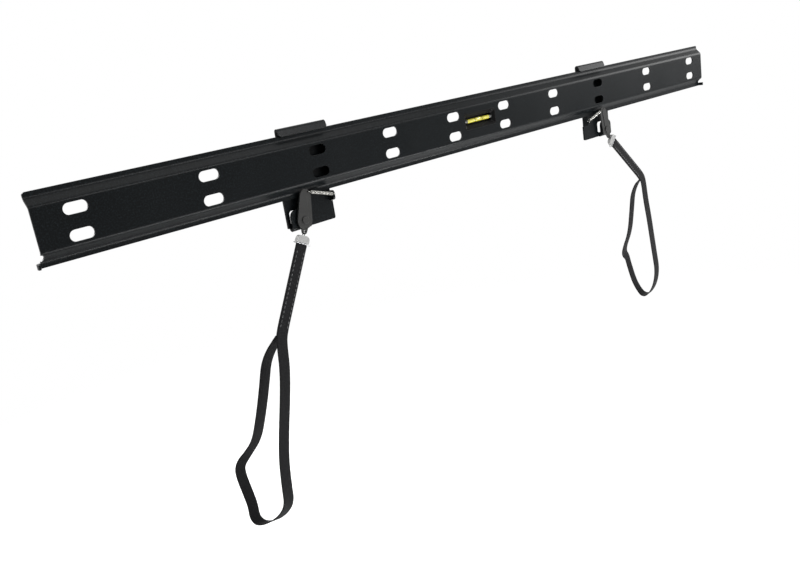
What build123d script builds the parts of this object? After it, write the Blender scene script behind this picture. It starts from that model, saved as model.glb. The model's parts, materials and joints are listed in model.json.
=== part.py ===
from build123d import *
import math
import os

# Fixed television wall bracket: a folded wall rail with a bubble level, and two
# hangers that hook over its top lip and latch behind its bottom lip.
# +X runs along the rail, +Y from the wall to the television, +Z is up.
# The wall is the plane y = 0. All sizes are in millimetres.

# Fits
body_gap = 0.3
running_fit = 0.05
trim_gap = 0.1

# Wall rail
rail_length = 850.0
rail_sheet = 1.5
rail_height = 50.0
web_height = 31.0
lip_set_back = 5.5
rail_bend = 4.0
lip_corner = 2.0
slot_length = 17.0
slot_width = 8.0
slot_columns = (36.0, 116.0, 196.0, 296.0, 396.0)
slot_row = 9.0
notch_radius = 2.2
stop_reach = 3.5
stop_height = 3.5
stop_bend = 2.0
stop_wall_gap = 0.5

# Bubble level
level_width = 44.0
level_height = 15.4
level_z = 1.4
level_corner = 1.5
level_mouth_rim = 0.8
level_throat_width = 36.0
level_throat_height = 7.6
level_throat_depth = 3.0
level_floor = 0.8
level_flange = 1.2
level_flange_lap = 1.0
vial_radius = 1.9
vial_length = 38.0
vial_y = 4.0

# Hanger places along the rail
left_hanger_x = -208.3
right_hanger_x = 197.7

# Hook plate
plate_sheet = 2.0
hook_bend = 0.4
hook_angle = 70.0
hook_gap = 0.25
hook_tip_reach = 0.65
hook_tip_chamfer = 1.5
upper_inner = -28.3
upper_outer = 19.1
lower_inner = -22.8
foot_inner = -24.0
foot_outer = 24.0
foot_step_z = -35.5
foot_bottom = -50.6
foot_corner = 1.5
neck_top = -12.0
neck_bottom = -24.0
tv_hole_radius = 4.25
tv_hole_u = -4.6
window_inner = 1.5
window_outer = 21.0
window_top = -34.5
window_bottom = -46.5
window_corner = 2.5
leaf_inner = 3.5
leaf_outer = 22.0
leaf_top = -34.0
leaf_corner = 5.5
leaf_wall_face = 3.6
leaf_relief = 1.0
fold_drop = 0.5
ear_top = -26.6
ear_bottom = -34.6
ear_reach = 1.2
ear_corner = 2.4

# Lever
lever_sheet = 1.6
lever_wall_face = 1.1
pivot_u = 10.9
pivot_z = -43.8
pivot_radius = 2.0
lever_foot_radius = 7.2
lever_lean = 13.0
lever_head_rise = 19.5
lever_head_radius = 5.5
lever_lobe_radius = 2.3
lobe_u = 13.6
lobe_z = -52.6
string_hole = 1.1
lever_step = 0.5
lever_step_shift = 4.2
spring_hole = 0.8
spring_hole_u = 3.4
spring_hole_z = -22.0

# Pivot rivet
rivet_head_radius = 3.2
rivet_head = 0.6
rivet_tail_radius = 3.0
rivet_tail = 0.8
washer_radius = 3.8

# Latch spring
coil_radius = 1.6
coil_bore = 0.5
coil_ridges = 8
coil_ridge = 0.3
loop_radius = 1.5
loop_wire = 0.3
loop_bite = 1.4
ear_hole = 1.0
ear_hole_z = -29.5

# Pull strap
string_radius = 0.35
string_gap = 0.2
crimp_drop = 3.4
crimp_width = 12.0
crimp_height = 6.0
crimp_roof = 1.0
crimp_shoulder = 3.4
webbing_width = 10.0
webbing = 1.1
bar_length = 84.0
keeper_wire = 0.35
keeper_width = 15.6
left_bar_lean = 28.0
right_bar_lean = 46.0
loop_lean = 8.0
loop_drop = 165.0
loop_bulge = 56.0
loop_bend = 12.0

os.makedirs("parts", exist_ok=True)

# Sizes that follow from the ones above
lip_foot = web_height / 2 + lip_set_back
lip_back = lip_set_back + rail_sheet
rail_top = rail_height / 2
plate_face = lip_back + body_gap
plate_back = plate_face + plate_sheet
lever_mid = lever_wall_face + lever_sheet / 2
lever_back = lever_wall_face + lever_sheet
leaf_back = leaf_wall_face + plate_sheet
level_back = plate_face - body_gap - trim_gap

# Wall rail: one folded sheet
with BuildPart() as wall_rail:
    with BuildSketch(Plane.YZ):
        with BuildLine():
            FilletPolyline(
                (lip_set_back, -rail_top),
                (lip_set_back, -lip_foot),
                (0, -web_height / 2),
                (0, web_height / 2),
                (lip_set_back, lip_foot),
                (lip_set_back, rail_top),
                radius=rail_bend,
            )
            offset(amount=rail_sheet, side=Side.RIGHT)
        make_face()
    extrude(amount=rail_length / 2, both=True)
    # Slots for the wall screws, in two rows
    with BuildSketch(Plane.XZ):
        for column in slot_columns:
            with GridLocations(2 * column, 2 * slot_row, 2, 2):
                SlotOverall(slot_length, slot_width)
    extrude(amount=-lip_back, mode=Mode.SUBTRACT)
    # Window for the level
    with BuildSketch(Plane.XZ):
        with Locations((0, level_z)):
            RectangleRounded(level_width, level_height, level_corner)
    extrude(amount=-lip_back, mode=Mode.SUBTRACT)
    # Rounded corners of the upper lip
    lip_edges = wall_rail.edges().filter_by(Axis.Y).filter_by(
        lambda e: abs(abs(e.center().X) - rail_length / 2) < 0.1 and e.center().Z > rail_top - 0.1
    )
    fillet(lip_edges, lip_corner)
    # Round reliefs above the end stops
    with BuildSketch(Plane.XZ):
        with Locations((0, -(web_height + lip_set_back) / 2)):
            with GridLocations(rail_length, 0, 2, 1):
                Circle(notch_radius)
    extrude(amount=-2 * lip_back, both=True, mode=Mode.SUBTRACT)
    # End stops: the lower lip runs on and turns towards the wall
    with BuildSketch(Plane.XY.offset(-rail_top)):
        for end in (-1, 1):
            with BuildLine():
                FilletPolyline(
                    (end * (rail_length / 2 - stop_reach), lip_back),
                    (end * (rail_length / 2 + stop_reach), lip_back),
                    (end * (rail_length / 2 + stop_reach), stop_wall_gap),
                    radius=stop_bend + rail_sheet,
                )
                offset(amount=rail_sheet, side=Side.RIGHT if end > 0 else Side.LEFT)
            make_face()
    extrude(amount=stop_height)

# Level holder: a plastic frame snapped into the window
with BuildPart() as level_holder:
    with BuildSketch(Plane.XZ):
        with Locations((0, level_z)):
            RectangleRounded(level_width - 2 * trim_gap, level_height - 2 * trim_gap, level_corner)
    extrude(amount=-level_back)
    with BuildSketch(Plane.XZ.offset(-rail_sheet)):
        with Locations((0, level_z)):
            RectangleRounded(
                level_width + 2 * level_flange_lap, level_height + 2 * level_flange_lap, level_corner
            )
    extrude(amount=-level_flange)
    # Funnel from the wall side down to the throat
    with BuildSketch(Plane.XZ):
        with Locations((0, level_z)):
            RectangleRounded(
                level_width - 2 * level_mouth_rim, level_height - 2 * level_mouth_rim, level_corner
            )
    with BuildSketch(Plane.XZ.offset(-level_throat_depth)):
        with Locations((0, level_z)):
            RectangleRounded(level_throat_width, level_throat_height, level_corner)
    loft(mode=Mode.SUBTRACT)
    with BuildSketch(Plane.XZ):
        with Locations((0, level_z)):
            RectangleRounded(level_throat_width, level_throat_height, level_corner)
    extrude(amount=level_floor - level_back, mode=Mode.SUBTRACT)
    # Seat for the vial, running into both ends
    with BuildSketch(Plane.YZ):
        with Locations((vial_y, level_z)):
            Circle(vial_radius + trim_gap / 2)
    extrude(amount=vial_length / 2 + trim_gap / 2, both=True, mode=Mode.SUBTRACT)

with BuildPart() as level_vial:
    with BuildSketch(Plane.YZ):
        with Locations((vial_y, level_z)):
            Circle(vial_radius)
    extrude(amount=vial_length / 2, both=True)
    chamfer(level_vial.faces().filter_by(Axis.X).edges(), 0.4)

# Hanger pieces are drawn for the right-hand hanger about its own centre, with
# +X outward, and mirrored for the left-hand one.

# Hook plate: one sheet, hooked at the top and folded into a leaf at the foot
hook_rise = math.tan(math.radians(hook_angle))
hook_seat_z = rail_top + hook_gap / math.cos(math.radians(hook_angle))
hook_tip_y = lip_set_back - hook_tip_reach
hook_corner_z = hook_seat_z + (plate_face - lip_set_back) * hook_rise
hook_tip_z = hook_seat_z - hook_tip_reach * hook_rise
fold_inner = (plate_face - leaf_back) / 2
fold_outer = fold_inner + plate_sheet
fold_y = leaf_back + fold_inner
fold_z = foot_bottom - fold_drop + fold_outer
ear_hole_y = lever_mid + loop_radius

with BuildPart() as hook_plate:
    # Side profile of the hook and the upper plate
    with BuildSketch(Plane.YZ.offset(upper_inner)):
        with BuildLine():
            FilletPolyline(
                (hook_tip_y, hook_tip_z),
                (plate_face, hook_corner_z),
                (plate_face, neck_top),
                radius=hook_bend,
            )
            offset(amount=plate_sheet, side=Side.LEFT)
        make_face()
    extrude(amount=upper_outer - upper_inner)
    # Neck and foot, seen from the wall
    with BuildSketch(Plane.XZ.offset(-plate_face)):
        with BuildLine():
            Polyline(
                (upper_inner, neck_top),
                (lower_inner, neck_bottom),
                (lower_inner, foot_step_z),
                (foot_inner, foot_step_z),
                (foot_inner, foot_bottom),
                (leaf_inner - leaf_relief, foot_bottom),
                (leaf_inner - leaf_relief, fold_z),
                (foot_outer, fold_z),
                (foot_outer, neck_bottom),
                (upper_outer, neck_top),
                close=True,
            )
        make_face()
    extrude(amount=-plate_sheet)
    # Leaf: the sheet turns under and up again towards the wall
    with BuildSketch(Plane.YZ.offset(leaf_inner)):
        with BuildLine():
            ThreePointArc((plate_face, fold_z), (fold_y, fold_z - fold_inner), (leaf_back, fold_z))
            Polyline(
                (leaf_back, fold_z),
                (leaf_back, leaf_top),
                (leaf_wall_face, leaf_top),
                (leaf_wall_face, fold_z),
            )
            ThreePointArc((leaf_wall_face, fold_z), (fold_y, fold_z - fold_outer), (plate_back, fold_z))
            Line((plate_back, fold_z), (plate_face, fold_z))
        make_face()
    extrude(amount=leaf_outer - leaf_inner)
    leaf_edges = hook_plate.edges().filter_by(Axis.Y).filter_by(lambda e: e.center().Y < leaf_back)
    fillet(leaf_edges, leaf_corner)
    # Ear for the spring, bent towards the wall at the inner edge
    with BuildSketch(Plane.YZ.offset(lower_inner)):
        with BuildLine():
            Polyline(
                (ear_reach, ear_bottom),
                (plate_back, ear_bottom),
                (plate_back, ear_top),
                (ear_reach, ear_top),
                close=True,
            )
        make_face()
    extrude(amount=plate_sheet)
    ear_edges = hook_plate.edges().filter_by(Axis.X).filter_by(lambda e: e.center().Y < ear_reach + 0.1)
    fillet(ear_edges, ear_corner)
    with BuildSketch(Plane.YZ.offset(lower_inner)):
        with Locations((ear_hole_y, ear_hole_z)):
            Circle(ear_hole)
    extrude(amount=plate_sheet, mode=Mode.SUBTRACT)
    # Hole for the television screw, and the window behind the leaf
    with BuildSketch(Plane.XZ.offset(-plate_face)):
        with Locations((tv_hole_u, 0)):
            Circle(tv_hole_radius)
        with Locations(((window_inner + window_outer) / 2, (window_top + window_bottom) / 2)):
            RectangleRounded(window_outer - window_inner, window_top - window_bottom, window_corner)
    extrude(amount=-plate_sheet, mode=Mode.SUBTRACT)
    # Seat of the rivet in the leaf
    with BuildSketch(Plane.XZ.offset(-leaf_wall_face)):
        with Locations((pivot_u, pivot_z)):
            Circle(pivot_radius)
    extrude(amount=-plate_sheet, mode=Mode.SUBTRACT)
    foot_edges = hook_plate.edges().filter_by(Axis.Y).filter_by(
        lambda e: abs(e.center().X - foot_inner) < 0.1 and abs(e.center().Z - foot_bottom) < 0.1
    )
    fillet(foot_edges, foot_corner)
    tip_edges = hook_plate.edges().filter_by(
        lambda e: abs(e.length - plate_sheet) < 0.01 and e.center().Y < lip_set_back and e.center().Z > 0
    )
    chamfer(tip_edges, hook_tip_chamfer)

# Lever: a flat latch that swings on the rivet behind the rail's lower lip
head_u = pivot_u - lever_head_rise * math.sin(math.radians(lever_lean))
head_z = pivot_z + lever_head_rise * math.cos(math.radians(lever_lean))

with BuildSketch() as lever_outline:
    with Locations((pivot_u, pivot_z)):
        Circle(lever_foot_radius)
    with Locations((head_u, head_z)):
        Circle(lever_head_radius)
    make_hull()

with BuildSketch() as lobe_outline:
    with Locations((pivot_u, pivot_z)):
        Circle(2 * lever_lobe_radius)
    with Locations((lobe_u, lobe_z)):
        Circle(lever_lobe_radius)
    make_hull()

with BuildPart() as lever:
    with BuildSketch(Plane.XZ.offset(-lever_wall_face)):
        add(lever_outline.sketch)
        add(lobe_outline.sketch)
        with Locations((pivot_u, pivot_z)):
            Circle(pivot_radius + running_fit, mode=Mode.SUBTRACT)
        with Locations((lobe_u, lobe_z)):
            Circle(string_hole, mode=Mode.SUBTRACT)
        with Locations((spring_hole_u, spring_hole_z)):
            Circle(spring_hole, mode=Mode.SUBTRACT)
    extrude(amount=-lever_sheet)
    # Stepped inner edge on the wall side
    with BuildSketch(Plane.XZ.offset(-lever_wall_face)):
        add(lever_outline.sketch)
        with Locations((lever_step_shift, 0)):
            add(lever_outline.sketch, mode=Mode.SUBTRACT)
    extrude(amount=-lever_step, mode=Mode.SUBTRACT)

# Rivet and spacer washer that carry the lever on the leaf
rivet_front = lever_wall_face - body_gap - rivet_head

with BuildPart() as lever_rivet:
    with BuildSketch(Plane.XZ.offset(-rivet_front)):
        with Locations((pivot_u, pivot_z)):
            Circle(rivet_head_radius)
    extrude(amount=-rivet_head)
    chamfer(lever_rivet.faces().sort_by(Axis.Y)[0].edges(), rivet_head / 2)
    with BuildSketch(Plane.XZ.offset(-rivet_front)):
        with Locations((pivot_u, pivot_z)):
            Circle(pivot_radius)
    extrude(amount=rivet_front - leaf_back - rivet_tail)
    with BuildSketch(Plane.XZ.offset(-leaf_back)):
        with Locations((pivot_u, pivot_z)):
            Circle(rivet_tail_radius)
    extrude(amount=-rivet_tail)

with BuildPart() as lever_washer:
    with BuildSketch(Plane.XZ.offset(-lever_back - body_gap)):
        with Locations((pivot_u, pivot_z)):
            Circle(washer_radius)
            Circle(pivot_radius + running_fit, mode=Mode.SUBTRACT)
    extrude(amount=lever_back + body_gap - leaf_wall_face)

# Latch spring, from the ear to the lever's head
ear_end = Vector(lower_inner + plate_sheet / 2, lever_mid, ear_hole_z)
lever_end = Vector(spring_hole_u, lever_mid, spring_hole_z)
spring_run = lever_end - ear_end
spring_plane = Plane(
    origin=ear_end, x_dir=spring_run, z_dir=spring_run.normalized().cross(Vector(0, 1, 0))
)
coil_start = loop_bite
coil_end = spring_run.length - loop_radius - loop_bite
coil_pitch = (coil_end - coil_start) / coil_ridges

with BuildPart(spring_plane) as spring:
    with BuildSketch(spring_plane):
        with BuildLine():
            ridge_line = [(coil_start, coil_bore), (coil_start, coil_radius - coil_ridge)]
            for turn in range(coil_ridges):
                ridge_line.append((coil_start + coil_pitch * (turn + 0.5), coil_radius))
                ridge_line.append((coil_start + coil_pitch * (turn + 1), coil_radius - coil_ridge))
            ridge_line.append((coil_end, coil_bore))
            Polyline(*ridge_line, close=True)
        make_face()
    revolve(axis=Axis(ear_end, spring_run))
    with Locations((0, 0), (spring_run.length - loop_radius, 0)):
        Torus(loop_radius, loop_wire)

# Pull straps: each hangs from its lever on a string, a crimp and a keeper ring.
# The stitched bar leans outward, and the loop below it hangs nearly plumb.
string_reach = lever_sheet / 2 + string_gap + string_radius
crimp_depth = 2 * (string_reach + string_radius)
bar_top = crimp_drop + crimp_roof + trim_gap
keeper_reach = webbing + trim_gap / 2 + keeper_wire
straps = {}
for side, bar_lean in (("left", left_bar_lean), ("right", right_bar_lean)):
    lean = math.radians(bar_lean)
    bar_down = Vector(math.sin(lean), 0, -math.cos(lean))
    bar_across = Vector(math.cos(lean), 0, math.sin(lean))
    lobe_hole = Vector(lobe_u, lever_mid, lobe_z)
    bar_plane = Plane(origin=lobe_hole, x_dir=(0, 1, 0), z_dir=bar_across)

    with BuildPart() as strap_string:
        with BuildLine(bar_plane) as string_line:
            FilletPolyline(
                (-string_reach, -crimp_drop),
                (-string_reach, 0),
                (string_reach, 0),
                (string_reach, -crimp_drop),
                radius=string_reach * 0.6,
            )
        with BuildSketch(Plane(origin=string_line.line @ 0, z_dir=string_line.line % 0)):
            Circle(string_radius)
        sweep()

    with BuildPart() as strap_crimp:
        with BuildSketch(bar_plane):
            with Locations((0, -crimp_drop - crimp_height / 2)):
                Rectangle(crimp_depth, crimp_height)
        extrude(amount=crimp_width / 2, both=True)
        shoulder_edges = strap_crimp.edges().filter_by(Axis.Y).group_by(Axis(lobe_hole, bar_down))[0]
        fillet(shoulder_edges, crimp_shoulder)
        with BuildSketch(bar_plane):
            with Locations((0, -crimp_drop - crimp_roof - crimp_height / 2)):
                Rectangle(2 * webbing + 2 * trim_gap, crimp_height)
        extrude(amount=webbing_width / 2 + trim_gap, both=True, mode=Mode.SUBTRACT)

    keeper_place = lobe_hole + bar_down * (crimp_drop + crimp_height + 2 * keeper_wire)
    keeper_plane = Plane(origin=keeper_place, x_dir=bar_across, z_dir=bar_down)
    with BuildPart() as strap_keeper:
        with BuildLine(keeper_plane) as keeper_line:
            FilletPolyline(
                (-keeper_width / 2, -keeper_reach),
                (keeper_width / 2, -keeper_reach),
                (keeper_width / 2, keeper_reach),
                (-keeper_width / 2, keeper_reach),
                radius=keeper_reach * 0.9,
                close=True,
            )
        with BuildSketch(Plane(origin=keeper_line.line @ 0, z_dir=keeper_line.line % 0)):
            Circle(keeper_wire)
        sweep()

    knuckle = lobe_hole + bar_down * (bar_top + bar_length)
    hang = math.radians(loop_lean)
    loop_plane = Plane(
        origin=knuckle, x_dir=(0, 1, 0), z_dir=(math.cos(hang), 0, math.sin(hang))
    )
    with BuildPart() as strap_webbing:
        with BuildSketch(bar_plane):
            with Locations((0, -bar_top - bar_length / 2)):
                Rectangle(2 * webbing, bar_length)
        extrude(amount=webbing_width / 2, both=True)
        with BuildSketch(Plane(origin=knuckle, x_dir=(1, 0, 0), z_dir=(0, 1, 0))):
            Circle(webbing_width / 2)
        extrude(amount=webbing, both=True)
        with BuildSketch(loop_plane):
            with BuildLine():
                FilletPolyline(
                    (-webbing, 0),
                    (-webbing, -loop_drop + 2),
                    (loop_bulge * 0.3, -loop_drop),
                    (loop_bulge * 0.6, -loop_drop + 4),
                    (loop_bulge, -loop_drop * 0.7),
                    (loop_bulge * 0.57, -loop_drop * 0.5),
                    (loop_bulge * 0.28, -loop_drop * 0.1),
                    (webbing, 0),
                    radius=[loop_bend, loop_bend, loop_bend, loop_bend, 2 * loop_bend, 2 * loop_bend],
                    close=False,
                )
                Line((webbing, 0), (-webbing, 0))
            make_face()
            offset(amount=-webbing, mode=Mode.SUBTRACT)
        extrude(amount=webbing_width / 2, both=True)

    straps[side] = {
        "strap_string": strap_string.part,
        "strap_crimp": strap_crimp.part,
        "strap_keeper": strap_keeper.part,
        "strap_webbing": strap_webbing.part,
    }

# Files: the rail as drawn, then both hangers in their places
wall_rail.part.label = "wall_rail"
level_holder.part.label = "level_holder"
level_vial.part.label = "level_vial"
export_step(wall_rail.part, "parts/wall_rail.step")
export_step(level_holder.part, "parts/level_holder.step")
export_step(level_vial.part, "parts/level_vial.step")

hanger = {
    "hook_plate": hook_plate.part,
    "lever": lever.part,
    "lever_rivet": lever_rivet.part,
    "lever_washer": lever_washer.part,
    "latch_spring": spring.part,
}
for name, piece in {**hanger, **straps["right"]}.items():
    placed = piece.moved(Location((right_hanger_x, 0, 0)))
    placed.label = "right_" + name
    export_step(placed, "parts/right_" + name + ".step")
for name, piece in {**hanger, **straps["left"]}.items():
    placed = mirror(piece, about=Plane.YZ).moved(Location((left_hanger_x, 0, 0)))
    placed.label = "left_" + name
    export_step(placed, "parts/left_" + name + ".step")
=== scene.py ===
# %% [markdown]
# # A television wall bracket
# This lesson dresses a sheet-metal bracket: a black rail with a bubble level and two hangers,
# each latched by a small sprung lever that is let go by pulling a webbing strap.
# The solids come from the CAD part, and Blender adds the finishes and the soft pieces.

import json
import math

import bpy
from mathutils import Matrix, Vector


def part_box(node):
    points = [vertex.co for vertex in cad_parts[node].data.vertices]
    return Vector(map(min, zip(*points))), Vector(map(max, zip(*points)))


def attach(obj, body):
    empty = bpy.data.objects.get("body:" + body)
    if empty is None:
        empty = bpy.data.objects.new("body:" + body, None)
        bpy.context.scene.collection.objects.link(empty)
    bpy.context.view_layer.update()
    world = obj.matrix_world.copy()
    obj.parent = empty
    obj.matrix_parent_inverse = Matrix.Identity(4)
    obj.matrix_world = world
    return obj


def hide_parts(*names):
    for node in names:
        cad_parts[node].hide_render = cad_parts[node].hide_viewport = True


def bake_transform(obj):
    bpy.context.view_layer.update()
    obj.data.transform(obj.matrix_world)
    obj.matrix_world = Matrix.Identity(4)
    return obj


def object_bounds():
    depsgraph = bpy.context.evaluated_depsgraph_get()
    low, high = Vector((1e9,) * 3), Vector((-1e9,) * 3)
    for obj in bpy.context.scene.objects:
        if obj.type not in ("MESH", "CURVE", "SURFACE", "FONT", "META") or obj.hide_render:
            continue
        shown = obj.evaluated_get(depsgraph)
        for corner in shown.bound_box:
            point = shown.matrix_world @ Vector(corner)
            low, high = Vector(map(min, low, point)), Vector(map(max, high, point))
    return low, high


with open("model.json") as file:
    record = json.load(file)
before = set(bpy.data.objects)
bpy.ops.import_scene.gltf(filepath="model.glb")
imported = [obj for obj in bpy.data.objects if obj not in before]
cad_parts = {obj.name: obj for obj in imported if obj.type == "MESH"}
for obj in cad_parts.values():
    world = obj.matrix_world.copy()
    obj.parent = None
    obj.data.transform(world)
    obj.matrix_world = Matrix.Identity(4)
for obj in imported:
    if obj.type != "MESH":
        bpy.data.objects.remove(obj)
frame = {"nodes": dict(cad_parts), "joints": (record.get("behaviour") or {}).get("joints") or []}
cad_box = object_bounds()
nodes = frame["nodes"]
joints = {joint["name"]: joint for joint in frame["joints"]}
SIDES = {"left": -1, "right": 1}
MM = 0.001
print("CAD nodes:", len(nodes))

# %% [markdown]
# ## Habits of the workbench
# Operators act on whatever is selected, so each step starts from nothing. Copying a piece with a
# mesh of its own, joining pieces and turning faces outward come back all through the lesson, so each
# is a short function and the later cells only say what is made.

# %% Modelling helpers
SMOOTH_ANGLE = math.radians(40)


def deselect_all():
    """Leave edit mode and select nothing, ready for the next operator."""
    if bpy.context.object and bpy.context.object.mode != "OBJECT":
        bpy.ops.object.mode_set(mode="OBJECT")
    bpy.ops.object.select_all(action="DESELECT")


def own_copy(piece):
    """A copy of a piece with a mesh of its own."""
    twin = piece.copy()
    twin.data = piece.data.copy()
    bpy.context.collection.objects.link(twin)
    return twin


def join_pieces(pieces):
    """Join pieces into the first of them, which is left active."""
    deselect_all()
    for piece in pieces:
        piece.select_set(True)
    bpy.context.view_layer.objects.active = pieces[0]
    bpy.ops.object.join()


def face_outward():
    """Turn the active piece's faces outward."""
    bpy.ops.object.mode_set(mode="EDIT")
    bpy.ops.mesh.select_all(action="SELECT")
    bpy.ops.mesh.normals_make_consistent(inside=False)
    bpy.ops.object.mode_set(mode="OBJECT")


print("corners stay sharp above", round(math.degrees(SMOOTH_ANGLE)), "degrees")

# %% [markdown]
# ## Habits of the node editor
# The finishes are built from the same few nodes, wired in the same way. A Mix node numbers its
# sockets by the kind of value, so its colour sockets get names here.

# %% Node helpers
MIX_FIRST, MIX_SECOND, MIX_RESULT = 6, 7, 2


def link(tree, from_socket, to_socket):
    tree.links.new(from_socket, to_socket)


def math_node(tree, operation):
    node = tree.nodes.new("ShaderNodeMath")
    node.operation = operation
    return node


def colour_mix(tree):
    node = tree.nodes.new("ShaderNodeMix")
    node.data_type = "RGBA"
    return node


def range_mask(tree, start, end):
    """A Map Range node that goes from 0 at the start value to 1 at the end value."""
    node = tree.nodes.new("ShaderNodeMapRange")
    node.inputs["From Min"].default_value = start
    node.inputs["From Max"].default_value = end
    return node


def new_group(name, inputs, outputs):
    """A shader node group with named sockets, and its input and output nodes."""
    group = bpy.data.node_groups.new(name, "ShaderNodeTree")
    for way, sockets in (("INPUT", inputs), ("OUTPUT", outputs)):
        for socket, kind in sockets.items():
            group.interface.new_socket(socket, in_out=way, socket_type="NodeSocket" + kind)
    return group, group.nodes.new("NodeGroupInput"), group.nodes.new("NodeGroupOutput")


def group_node(tree, group):
    node = tree.nodes.new("ShaderNodeGroup")
    node.node_tree = group
    return node


def new_material(name):
    """A material with nodes, its node tree and its Principled shader."""
    material = bpy.data.materials.new(name)
    material.use_nodes = True
    return material, material.node_tree, material.node_tree.nodes["Principled BSDF"]


print("a Mix node's colour sockets:", MIX_FIRST, MIX_SECOND, MIX_RESULT)

# %% [markdown]
# ## Noise that a finish shares
# Powder coat, moulded plastic and plated steel all have a fine grain. One node group makes it, so
# that each material only says how coarse and how strong its own grain is. The group gives a height
# for a Bump node, and slow blotches that make the gloss uneven.

# %% Fine grain group
GRAIN_DETAIL = 3
BLOTCH_DETAIL = 5
BLOTCH_LOW, BLOTCH_HIGH = 0.3, 0.7

grain, grain_in, grain_out = new_group(
    "fine_grain",
    {
        "Grains per metre": "Float",
        "Blotches per metre": "Float",
        "Gloss low": "Float",
        "Gloss high": "Float",
    },
    {"Height": "Float", "Roughness": "Float", "Blotch": "Float"},
)
grain_place = grain.nodes.new("ShaderNodeTexCoord")
grain_noise = grain.nodes.new("ShaderNodeTexNoise")
grain_noise.inputs["Detail"].default_value = GRAIN_DETAIL
link(grain, grain_place.outputs["Object"], grain_noise.inputs["Vector"])
link(grain, grain_in.outputs["Grains per metre"], grain_noise.inputs["Scale"])
link(grain, grain_noise.outputs["Fac"], grain_out.inputs["Height"])
blotch_noise = grain.nodes.new("ShaderNodeTexNoise")
blotch_noise.inputs["Detail"].default_value = BLOTCH_DETAIL
link(grain, grain_place.outputs["Object"], blotch_noise.inputs["Vector"])
link(grain, grain_in.outputs["Blotches per metre"], blotch_noise.inputs["Scale"])
gloss_range = range_mask(grain, BLOTCH_LOW, BLOTCH_HIGH)
link(grain, blotch_noise.outputs["Fac"], gloss_range.inputs["Value"])
link(grain, grain_in.outputs["Gloss low"], gloss_range.inputs["To Min"])
link(grain, grain_in.outputs["Gloss high"], gloss_range.inputs["To Max"])
link(grain, gloss_range.outputs["Result"], grain_out.inputs["Roughness"])
link(grain, blotch_noise.outputs["Fac"], grain_out.inputs["Blotch"])
print("group:", grain.name, [socket.name for socket in grain.interface.items_tree])

# %% [markdown]
# ## Rubbed edges
# Coated steel pales on its corners first, where the coat is thinnest and hands rub it. A Bevel node
# gives the normal that a slightly rounded corner would have. Where it departs from the true normal
# there is a corner, so the difference becomes a mask, broken up by the blotches. It doesn't depend
# on how the flat faces are cut into triangles, as vertex-based masks do.

# %% Edge group
EDGE_WIDTH = 0.5 * MM
EDGE_SAMPLES = 4
FLAT_AGREEMENT, CORNER_AGREEMENT = 0.98, 0.8

edge, edge_in, edge_out = new_group(
    "rubbed_edge", {"Dark": "Color", "Pale": "Color", "Blotch": "Float"}, {"Color": "Color"}
)
edge_shape = edge.nodes.new("ShaderNodeNewGeometry")
edge_round = edge.nodes.new("ShaderNodeBevel")
edge_round.samples = EDGE_SAMPLES
edge_round.inputs["Radius"].default_value = EDGE_WIDTH
edge_turn = edge.nodes.new("ShaderNodeVectorMath")
edge_turn.operation = "DOT_PRODUCT"
link(edge, edge_shape.outputs["Normal"], edge_turn.inputs[0])
link(edge, edge_round.outputs["Normal"], edge_turn.inputs[1])
edge_range = range_mask(edge, FLAT_AGREEMENT, CORNER_AGREEMENT)
link(edge, edge_turn.outputs["Value"], edge_range.inputs["Value"])
edge_uneven = math_node(edge, "MULTIPLY")
link(edge, edge_range.outputs["Result"], edge_uneven.inputs[0])
link(edge, edge_in.outputs["Blotch"], edge_uneven.inputs[1])
edge_mix = colour_mix(edge)
link(edge, edge_uneven.outputs["Value"], edge_mix.inputs["Factor"])
link(edge, edge_in.outputs["Dark"], edge_mix.inputs[MIX_FIRST])
link(edge, edge_in.outputs["Pale"], edge_mix.inputs[MIX_SECOND])
link(edge, edge_mix.outputs[MIX_RESULT], edge_out.inputs["Color"])
print("group:", edge.name, "with corners", EDGE_WIDTH / MM, "mm wide")

# %% [markdown]
# ## Coated and bare metal
# Nearly every piece is steel with some finish on it, so one recipe makes them all: a Principled
# shader, the grain for bump, uneven gloss and paler flecks, and the rubbed edge for colour. What
# differs is how dark, how metallic and how coarse the finish is.

# %% Metal recipe
FLECK_LOW, FLECK_HIGH = 0.48, 0.7
GRAIN_RELIEF = 0.3 * MM


def grained_material(name, dark, pale, gloss, grains, blotches, bump, metallic=0, specular=0.5, fleck=1.4):
    """A finish with fine bumps and flecks, uneven gloss and slightly rubbed corners."""
    material, tree, shader = new_material(name)
    shader.inputs["Metallic"].default_value = metallic
    shader.inputs["Specular IOR Level"].default_value = specular
    texture = group_node(tree, grain)
    texture.inputs["Grains per metre"].default_value = grains
    texture.inputs["Blotches per metre"].default_value = blotches
    texture.inputs["Gloss low"].default_value = gloss[0]
    texture.inputs["Gloss high"].default_value = gloss[1]
    corner = group_node(tree, edge)
    corner.inputs["Pale"].default_value = (*pale, 1)
    fleck_mask = range_mask(tree, FLECK_LOW, FLECK_HIGH)
    fleck_mix = colour_mix(tree)
    fleck_mix.inputs[MIX_FIRST].default_value = (*dark, 1)
    fleck_mix.inputs[MIX_SECOND].default_value = (*[fleck * part for part in dark], 1)
    link(tree, texture.outputs["Height"], fleck_mask.inputs["Value"])
    link(tree, fleck_mask.outputs["Result"], fleck_mix.inputs["Factor"])
    link(tree, fleck_mix.outputs[MIX_RESULT], corner.inputs["Dark"])
    relief = tree.nodes.new("ShaderNodeBump")
    relief.inputs["Strength"].default_value = bump
    relief.inputs["Distance"].default_value = GRAIN_RELIEF
    link(tree, texture.outputs["Height"], relief.inputs["Height"])
    link(tree, relief.outputs["Normal"], shader.inputs["Normal"])
    link(tree, texture.outputs["Roughness"], shader.inputs["Roughness"])
    link(tree, texture.outputs["Blotch"], corner.inputs["Blotch"])
    link(tree, corner.outputs["Color"], shader.inputs["Base Color"])
    return material


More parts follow.
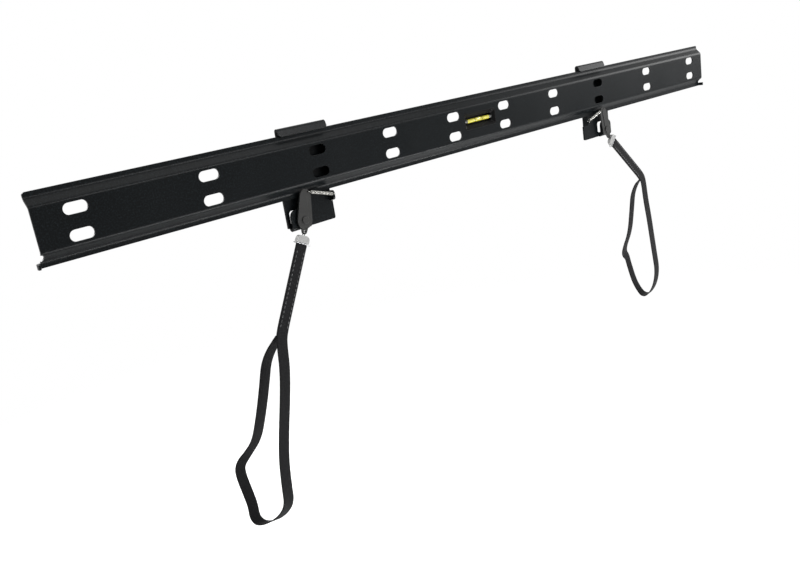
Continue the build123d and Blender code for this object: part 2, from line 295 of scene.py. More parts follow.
print("recipe:", grained_material.__name__)

# %% [markdown]
# ## The bracket's own finishes
# The rail and the hook plates have a black powder coat with a sparse pale grain. The levers are a
# shade lighter and more even, and the level's holder is plain black plastic. The small hardware is
# plated or bare: steel for the rings, bright wire for the springs, a dull grey for the crimps.

# %% Coats and metals
black_coat = grained_material(
    "black_powder_coat",
    dark=(0.0015, 0.002, 0.0023),
    pale=(0.035, 0.036, 0.036),
    gloss=(0.27, 0.36),
    grains=950,
    blotches=14,
    bump=0.22,
    specular=0.08,
    fleck=5,
)
lever_coat = grained_material(
    "lever_satin_coat",
    dark=(0.017, 0.017, 0.0165),
    pale=(0.055, 0.055, 0.055),
    gloss=(0.32, 0.44),
    grains=1800,
    blotches=60,
    bump=0.1,
    specular=0.2,
)
black_plastic = grained_material(
    "moulded_black_plastic",
    dark=(0.0015, 0.0015, 0.0015),
    pale=(0.01, 0.01, 0.01),
    gloss=(0.4, 0.5),
    grains=2400,
    blotches=90,
    bump=0.12,
    specular=0.06,
)
plain_steel = grained_material(
    "plain_plated_steel",
    dark=(0.22, 0.22, 0.225),
    pale=(0.5, 0.5, 0.5),
    gloss=(0.3, 0.42),
    grains=1500,
    blotches=200,
    bump=0.1,
    metallic=1,
)
spring_wire = grained_material(
    "bright_spring_wire",
    dark=(0.2, 0.197, 0.185),
    pale=(0.5, 0.5, 0.48),
    gloss=(0.2, 0.3),
    grains=3000,
    blotches=300,
    bump=0.05,
    metallic=1,
)
crimp_metal = grained_material(
    "matt_crimp_metal",
    dark=(0.2, 0.2, 0.197),
    pale=(0.4, 0.4, 0.4),
    gloss=(0.5, 0.62),
    grains=1200,
    blotches=160,
    bump=0.15,
    metallic=0.35,
)
coats = (black_coat, lever_coat, black_plastic, plain_steel, spring_wire, crimp_metal)
print("finishes:", [coat.name for coat in coats])

# %% [markdown]
# ## Webbing
# The straps are woven tape. A weave follows the strap round its bends, so the pattern reads the
# strip's own UV map, where U runs across and V along. Two Wave textures cross as warp and weft.

# %% Webbing group and material
WEBBING_WIDTH = 10 * MM
WEAVE_SCALE = 2.6
WEAVE_UNEVENNESS = 0.6
WEAVE_DETAIL_SCALE = 6
WEAVE_RELIEF = 0.25 * MM

weave, weave_in, weave_out = new_group(
    "tape_weave", {"Dark": "Color", "Pale": "Color"}, {"Color": "Color", "Height": "Float"}
)
weave_place = weave.nodes.new("ShaderNodeUVMap")
weave_place.uv_map = "UVMap"
weave_cross = math_node(weave, "MULTIPLY")
for thread, direction in enumerate(("X", "Y")):
    wave = weave.nodes.new("ShaderNodeTexWave")
    wave.bands_direction = direction
    wave.inputs["Scale"].default_value = WEAVE_SCALE
    wave.inputs["Distortion"].default_value = WEAVE_UNEVENNESS
    wave.inputs["Detail Scale"].default_value = WEAVE_DETAIL_SCALE
    link(weave, weave_place.outputs["UV"], wave.inputs["Vector"])
    link(weave, wave.outputs["Fac"], weave_cross.inputs[thread])
weave_mix = colour_mix(weave)
link(weave, weave_cross.outputs["Value"], weave_mix.inputs["Factor"])
link(weave, weave_in.outputs["Dark"], weave_mix.inputs[MIX_FIRST])
link(weave, weave_in.outputs["Pale"], weave_mix.inputs[MIX_SECOND])
link(weave, weave_mix.outputs[MIX_RESULT], weave_out.inputs["Color"])
link(weave, weave_cross.outputs["Value"], weave_out.inputs["Height"])

webbing_cloth, cloth_tree, cloth_shader = new_material("black_webbing")
cloth_shader.inputs["Roughness"].default_value = 0.85
cloth_shader.inputs["Specular IOR Level"].default_value = 0.1
cloth_shader.inputs["Sheen Weight"].default_value = 0.03
cloth_weave = group_node(cloth_tree, weave)
cloth_weave.inputs["Dark"].default_value = (0.002, 0.002, 0.0023, 1)
cloth_weave.inputs["Pale"].default_value = (0.011, 0.011, 0.012, 1)
cloth_relief = cloth_tree.nodes.new("ShaderNodeBump")
cloth_relief.inputs["Strength"].default_value = 0.6
cloth_relief.inputs["Distance"].default_value = WEAVE_RELIEF
link(cloth_tree, cloth_weave.outputs["Color"], cloth_shader.inputs["Base Color"])
link(cloth_tree, cloth_weave.outputs["Height"], cloth_relief.inputs["Height"])
link(cloth_tree, cloth_relief.outputs["Normal"], cloth_shader.inputs["Normal"])
print("weave:", webbing_cloth.name)

# %% [markdown]
# ## Thread
# The string and the stitches are thin twisted thread. At this size a twist is only painted shade in
# its furrows and a painted highlight on its strands, which slanting bands of a Wave texture give without
# any geometry.

# %% Thread materials
THREAD_TWIST = 700


def thread_material(name, dark, pale):
    """Twisted thread, with painted shade in its furrows and a painted highlight on its strands."""
    material, tree, shader = new_material(name)
    shader.inputs["Roughness"].default_value = 0.7
    place = tree.nodes.new("ShaderNodeTexCoord")
    # Wave bands paint shade in the furrows and a highlight on the strands.
    twist_shading = tree.nodes.new("ShaderNodeTexWave")
    twist_shading.bands_direction = "DIAGONAL"
    twist_shading.inputs["Scale"].default_value = THREAD_TWIST
    twist_shading.inputs["Distortion"].default_value = 1
    mix = colour_mix(tree)
    mix.inputs[MIX_FIRST].default_value = (*dark, 1)
    mix.inputs[MIX_SECOND].default_value = (*pale, 1)
    link(tree, place.outputs["Object"], twist_shading.inputs["Vector"])
    link(tree, twist_shading.outputs["Fac"], mix.inputs["Factor"])
    link(tree, mix.outputs[MIX_RESULT], shader.inputs["Base Color"])
    return material


black_thread = thread_material("black_thread", (0.012, 0.012, 0.012), (0.04, 0.04, 0.04))
stitch_thread = thread_material("grey_stitch_thread", (0.03, 0.03, 0.031), (0.08, 0.08, 0.082))
print("threads:", black_thread.name, stitch_thread.name)

# %% [markdown]
# ## The level's fluid
# The vial holds a bright yellow-green fluid behind clear acrylic, so it gets a coat for the acrylic's
# shine and a slow change of colour along its length. A faint emission in the same colour makes it glow,
# a painted glow. Its ends are darkened with painted shade, which a mask along the vial's length paints.

# %% Fluid
FLUID_CHANGES = 90
# Painted shade at the vial's ends: where it starts and where it is full, as shares of the half length, and
# its colour.
END_SHADE_START, END_SHADE_FULL = 0.78, 0.82
END_SHADE_COLOUR = (0.02, 0.02, 0.018, 1)
vial_low, vial_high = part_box("level_vial")
vial_middle = (vial_low + vial_high) / 2
vial_radius = (vial_high.z - vial_low.z) / 2
vial_half_length = (vial_high.x - vial_low.x) / 2


def clouded_colour(tree, changes, dark, pale):
    """A colour that drifts between two tones, as a socket."""
    place = tree.nodes.new("ShaderNodeTexCoord")
    noise = tree.nodes.new("ShaderNodeTexNoise")
    noise.inputs["Scale"].default_value = changes
    mix = colour_mix(tree)
    mix.inputs[MIX_FIRST].default_value = (*dark, 1)
    mix.inputs[MIX_SECOND].default_value = (*pale, 1)
    link(tree, place.outputs["Object"], noise.inputs["Vector"])
    link(tree, noise.outputs["Fac"], mix.inputs["Factor"])
    return mix.outputs[MIX_RESULT]


level_fluid, fluid_tree, fluid_shader = new_material("yellow_green_fluid")
fluid_shader.inputs["Roughness"].default_value = 0.2
fluid_shader.inputs["Coat Weight"].default_value = 1
fluid_shader.inputs["Coat Roughness"].default_value = 0.03
# The fluid glows faintly in its own colour, a painted glow, as it is no lamp.
fluid_shader.inputs["Emission Strength"].default_value = 0.08
fluid_colour = clouded_colour(fluid_tree, FLUID_CHANGES, (0.3, 0.27, 0.012), (0.5, 0.45, 0.035))
# Painted shade darkens the vial's ends, by a mask on the distance from its middle.
end_shade_place = fluid_tree.nodes.new("ShaderNodeTexCoord")
end_shade_along = fluid_tree.nodes.new("ShaderNodeSeparateXYZ")
end_shade_offset = math_node(fluid_tree, "SUBTRACT")
end_shade_offset.inputs[1].default_value = vial_middle.x
end_shade_reach = math_node(fluid_tree, "ABSOLUTE")
end_shade_mask = range_mask(fluid_tree, END_SHADE_START * vial_half_length, END_SHADE_FULL * vial_half_length)
end_shade_mix = colour_mix(fluid_tree)
end_shade_mix.inputs[MIX_SECOND].default_value = END_SHADE_COLOUR
link(fluid_tree, end_shade_place.outputs["Object"], end_shade_along.inputs["Vector"])
link(fluid_tree, end_shade_along.outputs["X"], end_shade_offset.inputs[0])
link(fluid_tree, end_shade_offset.outputs["Value"], end_shade_reach.inputs[0])
link(fluid_tree, end_shade_reach.outputs["Value"], end_shade_mask.inputs["Value"])
link(fluid_tree, end_shade_mask.outputs["Result"], end_shade_mix.inputs["Factor"])
link(fluid_tree, fluid_colour, end_shade_mix.inputs[MIX_FIRST])
link(fluid_tree, end_shade_mix.outputs[MIX_RESULT], fluid_shader.inputs["Base Color"])
# The same colour feeds the emission, so the painted glow follows it.
link(fluid_tree, end_shade_mix.outputs[MIX_RESULT], fluid_shader.inputs["Emission Color"])
print("fluid:", level_fluid.name, "in a vial", round(2 * vial_half_length / MM, 1), "mm long")

# %% [markdown]
# ## Finishes on the CAD pieces
# A CAD node whose shape is right keeps its mesh and only takes a finish. The folded sheet pieces
# share one powder coat, as they would hang in one oven, and the small hardware keeps its own.

# %% Assign finishes
FINISHES = {
    "wall_rail": black_coat,
    "level_holder": black_plastic,
    "level_vial": level_fluid,
}
for side in SIDES:
    FINISHES[side + "_hook_plate"] = black_coat
    FINISHES[side + "_lever"] = lever_coat
    FINISHES[side + "_lever_rivet"] = lever_coat
    FINISHES[side + "_lever_washer"] = plain_steel
    FINISHES[side + "_strap_string"] = black_thread
    FINISHES[side + "_strap_crimp"] = crimp_metal
    FINISHES[side + "_strap_keeper"] = plain_steel
for name, material in FINISHES.items():
    nodes[name].data.materials.clear()
    nodes[name].data.materials.append(material)
print("finished CAD nodes:", len(FINISHES))

# %% [markdown]
# ## The level's lines
# Two thin black lines are printed round the vial, one on each side of the bubble. A line is a hoop
# of the vial's own circle, extruded along the vial and thickened, then copied.

# %% Level lines
BUBBLE_LENGTH = 8 * MM
LINE_WIDTH = 0.4 * MM
LINE_THICKNESS = 0.12 * MM
LINE_CLEARANCE = 1 * MM
LINE_SIDES = 40

deselect_all()
bpy.ops.mesh.primitive_circle_add(
    vertices=LINE_SIDES, radius=vial_radius + LINE_THICKNESS / 2, rotation=(0, math.pi / 2, 0)
)
vial_lines = bpy.context.object
vial_lines.name = "vial_lines"
bpy.ops.object.transform_apply(location=False, rotation=True, scale=False)
bpy.ops.object.mode_set(mode="EDIT")
bpy.ops.mesh.select_all(action="SELECT")
bpy.ops.mesh.extrude_region_move(TRANSFORM_OT_translate={"value": (LINE_WIDTH, 0, 0)})
bpy.ops.object.mode_set(mode="OBJECT")
hoop = vial_lines.modifiers.new("hoop", "SOLIDIFY")
hoop.thickness = LINE_THICKNESS
hoop.offset = 0
bpy.ops.object.modifier_apply(modifier="hoop")
face_outward()
bpy.ops.object.shade_smooth_by_angle(angle=SMOOTH_ANGLE)
hoops = {-1: vial_lines, 1: own_copy(vial_lines)}
for way, hoop_object in hoops.items():
    along = way * (BUBBLE_LENGTH / 2 + LINE_CLEARANCE) - LINE_WIDTH / 2
    hoop_object.data.transform(Matrix.Translation(vial_middle + Vector((along, 0, 0))))
join_pieces(list(hoops.values()))
vial_lines.data.materials.append(black_plastic)
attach(vial_lines, "rail")
print("level lines:", len(vial_lines.data.vertices), "vertices")

# %% [markdown]
# ## The level's bubble
# The bubble is a sphere stretched along the vial, with its underside pressed flatter, as the fluid
# does. It breaks the vial's surface a little, because the vial is opaque here. Air in the fluid looks
# like a paler patch of it, so the bubble's colour is a lighter drift of the same kind, under a clear
# coat that gives it a glint.

# %% Bubble
BUBBLE_SEAT = Vector((0, -0.45, 0.35)) * vial_radius
BUBBLE_FLATTENING = 0.6
BUBBLE_GIRTH = 0.55 * vial_radius
BUBBLE_CHANGES = 220

bubble_air, air_tree, air_shader = new_material("bubble_air")
air_shader.inputs["Roughness"].default_value = 0.1
air_shader.inputs["Coat Weight"].default_value = 1
air_colour = clouded_colour(air_tree, BUBBLE_CHANGES, (0.72, 0.7, 0.2), (0.85, 0.82, 0.4))
link(air_tree, air_colour, air_shader.inputs["Base Color"])

deselect_all()
bpy.ops.mesh.primitive_uv_sphere_add(segments=32, ring_count=16, radius=1)
vial_bubble = bpy.context.object
vial_bubble.name = "vial_bubble"
bpy.ops.object.mode_set(mode="EDIT")
bpy.ops.mesh.select_all(action="DESELECT")
bpy.ops.object.mode_set(mode="OBJECT")
for vertex in vial_bubble.data.vertices:
    vertex.select = vertex.co.z < 0
bpy.ops.object.mode_set(mode="EDIT")
bpy.ops.transform.resize(value=(1, 1, BUBBLE_FLATTENING), center_override=(0, 0, 0))
bpy.ops.object.mode_set(mode="OBJECT")
bubble_size = Matrix.Diagonal((BUBBLE_LENGTH / 2, BUBBLE_GIRTH, BUBBLE_GIRTH, 1))
vial_bubble.data.transform(Matrix.Translation(vial_middle + BUBBLE_SEAT) @ bubble_size)
bpy.ops.object.shade_smooth()
vial_bubble.data.materials.append(bubble_air)
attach(vial_bubble, "rail")
print("bubble:", len(vial_bubble.data.vertices), "vertices")

# %% [markdown]
# ## The springs' wire
# Each lever is pulled shut by a close-wound extension spring. A small circle wound by the Screw
# modifier makes the coil. The loops that hook into the ear and the lever are the wire's circle spun
# most of the way round and closed at its cut ends.

# %% Coil and loop
COIL_RADIUS = 1.35 * MM
COIL_STEPS = 20
WIRE_RADIUS = 0.27 * MM
WIRE_SIDES = 8
TURN_PITCH = 2.1 * WIRE_RADIUS
LOOP_RADIUS = 1.5 * MM
LOOP_SWEEP = math.radians(310)
LOOP_START = math.radians(-65)
LOOP_STEPS = 28
LOOP_BITE = 1.4 * MM


def wind_coil(coil_length, turns):
    """A close-wound coil along Z, clear of the loop at its foot."""
    deselect_all()
    bpy.ops.mesh.primitive_circle_add(
        vertices=WIRE_SIDES, radius=WIRE_RADIUS, rotation=(math.pi / 2, 0, 0)
    )
    coil = bpy.context.object
    bpy.ops.object.transform_apply(location=False, rotation=True, scale=False)
    bpy.ops.object.mode_set(mode="EDIT")
    bpy.ops.mesh.select_all(action="SELECT")
    bpy.ops.transform.translate(value=(COIL_RADIUS, 0, LOOP_BITE))
    bpy.ops.object.mode_set(mode="OBJECT")
    screw = coil.modifiers.new("wind", "SCREW")
    screw.axis = "Z"
    screw.screw_offset = coil_length / turns
    screw.iterations = turns
    screw.steps = COIL_STEPS
    screw.render_steps = COIL_STEPS
    screw.use_normal_calculate = True
    bpy.ops.object.modifier_apply(modifier="wind")
    return coil


def bend_loop():
    """An open ring of wire round the Y axis, with its gap toward the coil."""
    deselect_all()
    bpy.ops.mesh.primitive_circle_add(vertices=WIRE_SIDES, radius=WIRE_RADIUS, fill_type="NGON")
    ring = bpy.context.object
    bpy.ops.object.mode_set(mode="EDIT")
    bpy.ops.mesh.select_all(action="SELECT")
    bpy.ops.transform.translate(value=(LOOP_RADIUS, 0, 0))
    bpy.ops.mesh.spin(steps=LOOP_STEPS, angle=LOOP_SWEEP, center=(0, 0, 0), axis=(0, 1, 0))
    bpy.ops.object.mode_set(mode="OBJECT")
    ring.data.transform(Matrix.Rotation(LOOP_START, 4, "Y"))
    return ring


print("wire:", round(2 * WIRE_RADIUS / MM, 2), "mm thick")

# %% [markdown]
# ## Hooking the springs in
# A spring runs from the hook plate's ear to a hole in the lever's head. One loop is made and copied to
# the other end, turned about. Places along the hanger are counted outward from its middle.

# %% Latch springs
EAR_OUT = -21.8 * MM
EAR_Z = -29.5 * MM
HOLE_OUT = 3.4 * MM
HOLE_Z = -22 * MM
PIVOT_OUT = 10.9 * MM
LEVER_MID_Y = 1.9 * MM


def hook_spring(side, outward):
    """A coil with end loops, from the hook plate's ear to the lever's head."""
    hanger_x = joints[side + "_release"]["pos_m"][0] - outward * PIVOT_OUT
    ear = Vector((hanger_x + outward * EAR_OUT, LEVER_MID_Y, EAR_Z))
    hole = Vector((hanger_x + outward * HOLE_OUT, LEVER_MID_Y, HOLE_Z))
    run = hole - ear
    coil_length = run.length - LOOP_RADIUS - 2 * LOOP_BITE
    turns = int(coil_length / TURN_PITCH)
    coil = wind_coil(coil_length, turns)
    ear_loop = bend_loop()
    lever_loop = own_copy(ear_loop)
    half_turn = Matrix.Rotation(math.pi, 4, "Y")
    lever_loop.data.transform(Matrix.Translation((0, 0, run.length - LOOP_RADIUS)) @ half_turn)
    join_pieces([coil, ear_loop, lever_loop])
    bpy.ops.object.transform_apply(location=True, rotation=True, scale=True)
    face_outward()
    bpy.ops.object.shade_smooth()
    along = run.normalized()
    sideways = Vector((0, 1, 0))
    turn = Matrix((sideways, along.cross(sideways), along)).transposed().to_4x4()
    coil.data.transform(Matrix.Translation(ear) @ turn)
    coil.name = side + "_spring_coil"
    coil.data.materials.append(spring_wire)
    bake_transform(coil)
    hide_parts(side + "_latch_spring")
    return turns


for side, outward in SIDES.items():
    print(side, "spring turns:", hook_spring(side, outward))

# %% [markdown]
# ## Pull straps
# A strap is a length of tape folded into a loop, with its ends sewn together into a double bar. It
# hangs from the lever, so its line is a smooth NURBS curve that leans with the bar and then drops.
# The CAD route's points were moved, and more were added, to follow the photograph. The bar's
# route gives drops below its top. The loop's route gives, from the bar's foot, how far each point
# bulges from the wall, its height and how far out it is. Both are in millimetres.

# %% Route of a strap
BAR_TOP = 4.5 * MM
BAR_LENGTH = 84 * MM
TAPE = 1.1 * MM
TAPE_TAIL = 2 * MM
LOOP_LEAN = math.radians(8)
BAR_LEANS = {"left": math.radians(28), "right": math.radians(46)}
BAR_ROUTE = (0, 60, 80)
LOOP_ROUTE = (
    (-0.6, -5.0, -0.4),
    (-0.6, -26.0, -1.4),
    (-0.1, -51.0, 0.5),
    (1.4, -77.0, 2.8),
    (2.4, -101.8, 4.4),
    (1.9, -125.0, 4.0),
    (6.0, -144.4, 0.0),
    (17.0, -158.3, 2.0),
    (27.0, -164.8, 9.0),
    (35.0, -165.7, 13.0),
    (40.0, -161.1, 14.5),
    (43.0, -152.7, 13.5),
    (46.4, -143.5, 14.5),
    (52.0, -124.0, 18.0),
    (52.0, -115.7, 17.0),
    (50.5, -108.3, 10.0),
    (44.0, -96.0, 4.0),
    (33.5, -75.0, 5.0),
    (25.5, -47.0, 3.8),
    (17.0, -13.0, 3.2),
)


def leaning(outward, lean):
    """Down along a strap that leans outward, and across it."""
    down = Vector((outward * math.sin(lean), 0, -math.cos(lean)))
    across = Vector((outward * math.cos(lean), 0, math.sin(lean)))
    return down, across


def strap_route(side, outward):
    """The points that steer the strap's line, and the foot of its bar."""
    hole = Vector(joints[side + "_strap_swing"]["pos_m"])
    bar_down = leaning(outward, BAR_LEANS[side])[0]
    loop_down, loop_across = leaning(outward, LOOP_LEAN)
    knuckle = hole + bar_down * (BAR_TOP + BAR_LENGTH)
    near_face = Vector((0, -TAPE / 2, 0))
    route = [hole + bar_down * (BAR_TOP + drop * MM) + near_face for drop in BAR_ROUTE]
    for bulge, height, out in LOOP_ROUTE:
        sway = loop_across * (out * MM)
        route.append(knuckle - loop_down * (height * MM) + sway + Vector((0, bulge * MM, 0)))
    route.append(knuckle - bar_down * TAPE_TAIL - near_face)
    return route, knuckle


print("steering points:", len(BAR_ROUTE) + len(LOOP_ROUTE) + 1)

# %% [markdown]
# ## The strap's line
# The steering points become one spline, and its points are read back as the line of the tape. At
# each of them the tape also needs a direction across. It leans with the bar above the bar's foot and
# with the loop below it, and eases from one to the other over a short length.

# %% Line of a strap
TURN_LENGTH = 12 * MM
SPLINE_ORDER = 3
SPLINE_STEPS = 14


def smooth_line(name, route):
    """Points along one smooth spline that is steered by a route."""
    curve = bpy.data.curves.new(name, "CURVE")
    curve.dimensions = "3D"
    spline = curve.splines.new("NURBS")
    spline.points.add(len(route) - 1)
    for point, place in zip(spline.points, route):
        point.co = (*place, 1)
    spline.order_u = SPLINE_ORDER
    spline.use_endpoint_u = True
    spline.resolution_u = SPLINE_STEPS
    carrier = bpy.data.objects.new(name, curve)
    read = bpy.data.meshes.new_from_object(carrier)
    line = [vertex.co.copy() for vertex in read.vertices]
    bpy.data.objects.remove(carrier)
    bpy.data.meshes.remove(read)
    return line


def strap_line(side, outward):
    """Points along the strap, the tape's cross direction at each, and the way down its bar."""
    bar_down, bar_across = leaning(outward, BAR_LEANS[side])
    loop_across = leaning(outward, LOOP_LEAN)[1]
    route, knuckle = strap_route(side, outward)
    line = smooth_line(side + "_strap_route", route)
    crosses = []
    for index, place in enumerate(line):
        below = max(0.0, min(1.0, 0.5 + (place - knuckle).dot(bar_down) / TURN_LENGTH))
        ease = below * below * (3 - 2 * below)
        cross = bar_across.lerp(loop_across, ease)
        ahead = (line[min(index + 1, len(line) - 1)] - line[max(index - 1, 0)]).normalized()
        crosses.append((cross - ahead * cross.dot(ahead)).normalized())
    return line, crosses, bar_down


def line_length(line):
    return sum((b - a).length for a, b in zip(line, line[1:]))


routes = {side: strap_line(side, outward) for side, outward in SIDES.items()}
for side, (line, crosses, bar_down) in routes.items():
    print(side, "strap points:", len(line), "length:", round(line_length(line), 3))

# %% [markdown]
# ## A strip of tape
# A flat grid is laid along the line, with as many rows as the line has points, which keeps the UV map
# straight for the weave. Each row is moved to its point and spread across the tape. Solidify then
# gives the tape its thickness, and a small bevel softens its edges.

# %% Tape strip
TAPE_COLUMNS = 7
TAPE_THICKNESS = 0.92 * TAPE
TAPE_EDGE = 0.3 * MM
TAPE_EDGE_SEGMENTS = 2


def lay_tape(name, line, crosses):
    """A strip of tape along a line, with U across and V along in tape widths."""
    deselect_all()
    bpy.ops.mesh.primitive_grid_add(
        x_subdivisions=TAPE_COLUMNS - 1, y_subdivisions=len(line) - 1, size=1, calc_uvs=True
    )
    strip = bpy.context.object
    strip.name = name
    run = [0.0]
    for a, b in zip(line, line[1:]):
        run.append(run[-1] + (b - a).length)
    share_of = {}
    for vertex in strip.data.vertices:
        across = vertex.co.x
        row = round((vertex.co.y + 0.5) * (len(line) - 1))
        share_of[vertex.index] = (across + 0.5, run[row] / WEBBING_WIDTH)
        vertex.co = line[row] + crosses[row] * (across * WEBBING_WIDTH)
    uv_map = strip.data.uv_layers.active
    uv_map.name = "UVMap"
    for loop in strip.data.loops:
        uv_map.data[loop.index].uv = share_of[loop.vertex_index]
    thick = strip.modifiers.new("thickness", "SOLIDIFY")
    thick.thickness = TAPE_THICKNESS
    thick.offset = 0
    bpy.ops.object.modifier_apply(modifier="thickness")
    soft = strip.modifiers.new("soft_edge", "BEVEL")
    soft.width = TAPE_EDGE
    soft.segments = TAPE_EDGE_SEGMENTS
    soft.limit_method = "ANGLE"
    bpy.ops.object.modifier_apply(modifier="soft_edge")
    bpy.ops.object.shade_smooth_by_angle(angle=SMOOTH_ANGLE)
    return strip


print("tape:", round(WEBBING_WIDTH / MM, 1), "by", round(TAPE_THICKNESS / MM, 2), "mm")

# %% [markdown]
# ## Laying the straps
# One long strip runs down the bar and round the loop. The second layer of the sewn bar is a shorter
# strip of the same kind, laid behind the first and joined to it.

# %% Straps
for side, (line, crosses, bar_down) in routes.items():
    strip = lay_tape(side + "_strap_tape", line, crosses)
    rows = [i for i, place in enumerate(line) if (place - line[0]).dot(bar_down) <= BAR_LENGTH]
    bar_rows = [i for i in rows if i < len(line) // 2]
    second = [line[i] + Vector((0, TAPE, 0)) for i in bar_rows]
    layer = lay_tape(side + "_strap_layer", second, [crosses[i] for i in bar_rows])
    join_pieces([strip, layer])
    strip.data.materials.append(webbing_cloth)
    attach(strip, side + "_pull")
    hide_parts(side + "_strap_webbing")
    print(strip.name, len(strip.data.vertices), "vertices")

# %% [markdown]
# ## Stitching
# The bar is sewn along both edges. One stitch is a small rounded stub, and an Array modifier repeats
# it down the bar. The row is then copied to the other edge and to both faces.

# %% Sew the bars
STITCH_WIDTH = 0.7 * MM
STITCH_HEIGHT = 0.45 * MM
STITCH_LENGTH = 2.6 * MM
STITCH_PITCH = 3.8 * MM
STITCH_INSET = 1.6 * MM
STITCH_START = 13 * MM
STITCH_MARGIN = 16 * MM
STITCH_PROUD = 0.97 * TAPE
STITCH_COUNT = int((BAR_LENGTH - STITCH_MARGIN) / STITCH_PITCH)
EDGES_AND_FACES = ((-1, -1), (-1, 1), (1, -1), (1, 1))


def sew_row():
    """One row of stitches down the Z axis."""
    deselect_all()
    bpy.ops.mesh.primitive_uv_sphere_add(
        segments=10, ring_count=6, radius=0.5, scale=(STITCH_WIDTH, STITCH_HEIGHT, STITCH_LENGTH)
    )
    bpy.ops.object.transform_apply(location=True, rotation=True, scale=True)
    row = bpy.context.object
    repeat = row.modifiers.new("repeat", "ARRAY")
    repeat.count = STITCH_COUNT
    repeat.use_relative_offset = False
    repeat.use_constant_offset = True
    repeat.constant_offset_displace = (0, 0, -STITCH_PITCH)
    bpy.ops.object.modifier_apply(modifier="repeat")
    return row


for side, (line, crosses, bar_down) in routes.items():
    hole = Vector(joints[side + "_strap_swing"]["pos_m"])
    across = crosses[0]
    stitches = sew_row()
    rows = [stitches] + [own_copy(stitches) for spare in EDGES_AND_FACES[1:]]
    turn = Matrix((across, Vector((0, 1, 0)), -bar_down)).transposed().to_4x4()
    for row, (edge_side, face) in zip(rows, EDGES_AND_FACES):
        start = hole + bar_down * (BAR_TOP + STITCH_START)
        start += across * (edge_side * (WEBBING_WIDTH / 2 - STITCH_INSET))
        start += Vector((0, face * STITCH_PROUD, 0))
        row.data.transform(Matrix.Translation(start) @ turn)
    join_pieces(rows)
    face_outward()
    bpy.ops.object.shade_smooth()
    stitches.name = side + "_strap_stitches"
    stitches.data.materials.append(stitch_thread)
    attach(stitches, side + "_pull")
    print(stitches.name, STITCH_COUNT, "stitches a row")

# %% [markdown]
# ## White surroundings
# A product photograph on white has white all around and a soft light from above. The world is white
# to the camera, in reflections and through clear pieces, and dimmer as a light, so that the lamps
# give the object its shape.

# %% World
WORLD_LIGHT = 0.35
WORLD_SEEN = 1

bpy.context.scene.view_settings.view_transform = "Standard"
world = bpy.data.worlds.new("studio")
bpy.context.scene.world = world
world.use_nodes = True
sky = world.node_tree
sky.nodes.clear()
sky_out = sky.nodes.new("ShaderNodeOutputWorld")
sky_mix = sky.nodes.new("ShaderNodeMixShader")
for socket, strength in ((1, WORLD_LIGHT), (2, WORLD_SEEN)):
    white = sky.nodes.new("ShaderNodeBackground")
    white.inputs["Color"].default_value = (1, 1, 1, 1)
    white.inputs["Strength"].default_value = strength
    link(sky, white.outputs["Background"], sky_mix.inputs[socket])
sky_path = sky.nodes.new("ShaderNodeLightPath")
sky_direct = math_node(sky, "MAXIMUM")
link(sky, sky_path.outputs["Is Camera Ray"], sky_direct.inputs[0])
link(sky, sky_path.outputs["Is Glossy Ray"], sky_direct.inputs[1])
sky_any = math_node(sky, "MAXIMUM")
link(sky, sky_direct.outputs["Value"], sky_any.inputs[0])
link(sky, sky_path.outputs["Is Transmission Ray"], sky_any.inputs[1])
link(sky, sky_any.outputs["Value"], sky_mix.inputs["Fac"])
link(sky, sky_mix.outputs["Shader"], sky_out.inputs["Surface"])
print("world:", world.name)

# %% [markdown]
# ## Floor
# The floor is pale paper below the straps, which takes their soft shadow and thins out into the white
# world before its edge shows.

# %% Floor
FLOOR_DROP = 0.25
FLOOR_SIZE = 6
FADE_START, FADE_END = 0.4, 1.3

floor_paper, paper, paper_shader = new_material("white_floor")
paper_shader.inputs["Base Color"].default_value = (0.95, 0.95, 0.95, 1)
paper_shader.inputs["Roughness"].default_value = 0.9
paper_place = paper.nodes.new("ShaderNodeTexCoord")
paper_far = paper.nodes.new("ShaderNodeVectorMath")
paper_far.operation = "LENGTH"
paper_fade = range_mask(paper, FADE_START, FADE_END)
paper_fade.interpolation_type = "SMOOTHSTEP"
paper_fade.inputs["To Min"].default_value = 1
paper_fade.inputs["To Max"].default_value = 0
link(paper, paper_place.outputs["Object"], paper_far.inputs[0])
link(paper, paper_far.outputs["Value"], paper_fade.inputs["Value"])
link(paper, paper_fade.outputs["Result"], paper_shader.inputs["Alpha"])
deselect_all()
bpy.ops.mesh.primitive_plane_add(size=FLOOR_SIZE, location=(0, 0, cad_box[0][2] - FLOOR_DROP))
floor = bpy.context.object
floor.name = "floor"
floor.data.materials.append(floor_paper)
print("floor at", round(floor.location.z, 3))

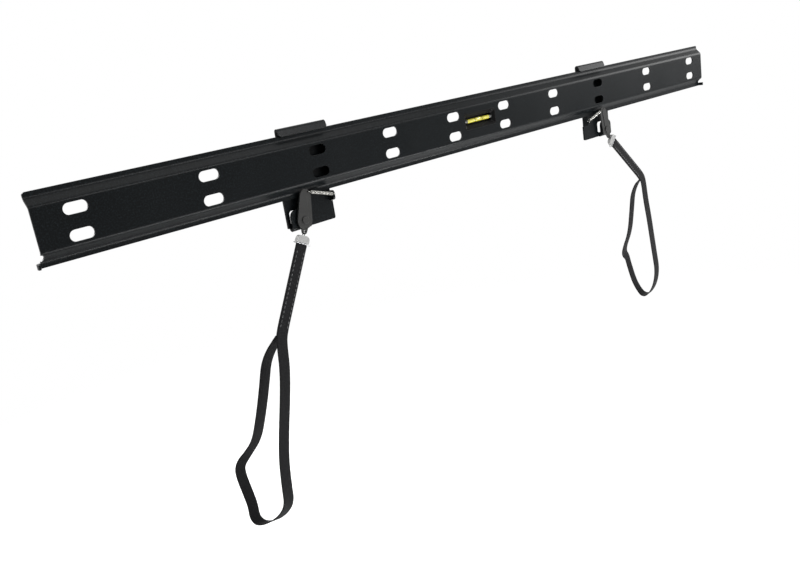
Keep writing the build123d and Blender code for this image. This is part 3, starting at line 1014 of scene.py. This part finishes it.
# %% [markdown]
# ## Lamps
# Area lamps are soft, so a coated sheet shows broad highlights and no hard spots. A wide one overhead
# whitens the floor, and one lights the hangers' backs. Two strips and a smaller lamp stand where the
# rail's bends mirror them to the camera, so that bright lines draw the folds.

# %% Lamps


def soft_box(name, place, aim, size, power):
    """An area lamp of a given width and height that faces a point."""
    bpy.ops.object.light_add(type="AREA", location=place)
    lamp = bpy.context.object
    lamp.name = name
    lamp.data.shape = "RECTANGLE"
    lamp.data.size, lamp.data.size_y = size
    lamp.data.energy = power
    lamp.rotation_euler = (Vector(aim) - Vector(place)).to_track_quat("-Z", "Y").to_euler()
    return lamp


deselect_all()
lamps = [
    soft_box("overhead_light", (0, 0.3, 2.6), aim=(0, 0.3, 0), size=(4, 4), power=85),
    soft_box("upper_strip_light", (0.45, -1.15, 0.73), aim=(0.45, 0, 0), size=(1, 0.15), power=11),
    soft_box("lower_strip_light", (0.2, -0.43, -0.47), aim=(0.2, 0, 0), size=(0.9, 0.05), power=6.5),
    soft_box("end_light", (1.5, -0.6, 0.4), aim=(0.3, 0, 0), size=(0.7, 0.7), power=12),
    soft_box("back_light", (-0.5, 1.5, 0.8), aim=(0, 0, -0.05), size=(1, 1), power=25),
]
print("lamps:", len(lamps))

# %% [markdown]
# ## The photograph's camera
# The rail's slots lie in a known pattern, so their places in the photograph give the camera: where it
# stood, which way it looked, how it was turned and its focal length.

# %% Camera
CAMERA_EYE = Vector((-587.56, -538.36, 71.79)) * MM
CAMERA_RIGHT = Vector((0.72683, -0.66995, -0.15128))
CAMERA_UP = Vector((0.29314, 0.10341, 0.95046))
SENSOR_WIDTH = 36
FOCAL_LENGTH = 36.635
NEAREST_SEEN = 0.01

bpy.ops.object.camera_add(location=CAMERA_EYE)
camera = bpy.context.object
camera.name = "photo_camera"
back = CAMERA_RIGHT.cross(CAMERA_UP)
camera.rotation_euler = Matrix((CAMERA_RIGHT, CAMERA_UP, back)).transposed().to_euler()
camera.data.sensor_fit = "HORIZONTAL"
camera.data.sensor_width = SENSOR_WIDTH
camera.data.lens = FOCAL_LENGTH
camera.data.clip_start = NEAREST_SEEN
bpy.context.scene.camera = camera
print("camera at", [round(x, 3) for x in camera.location])
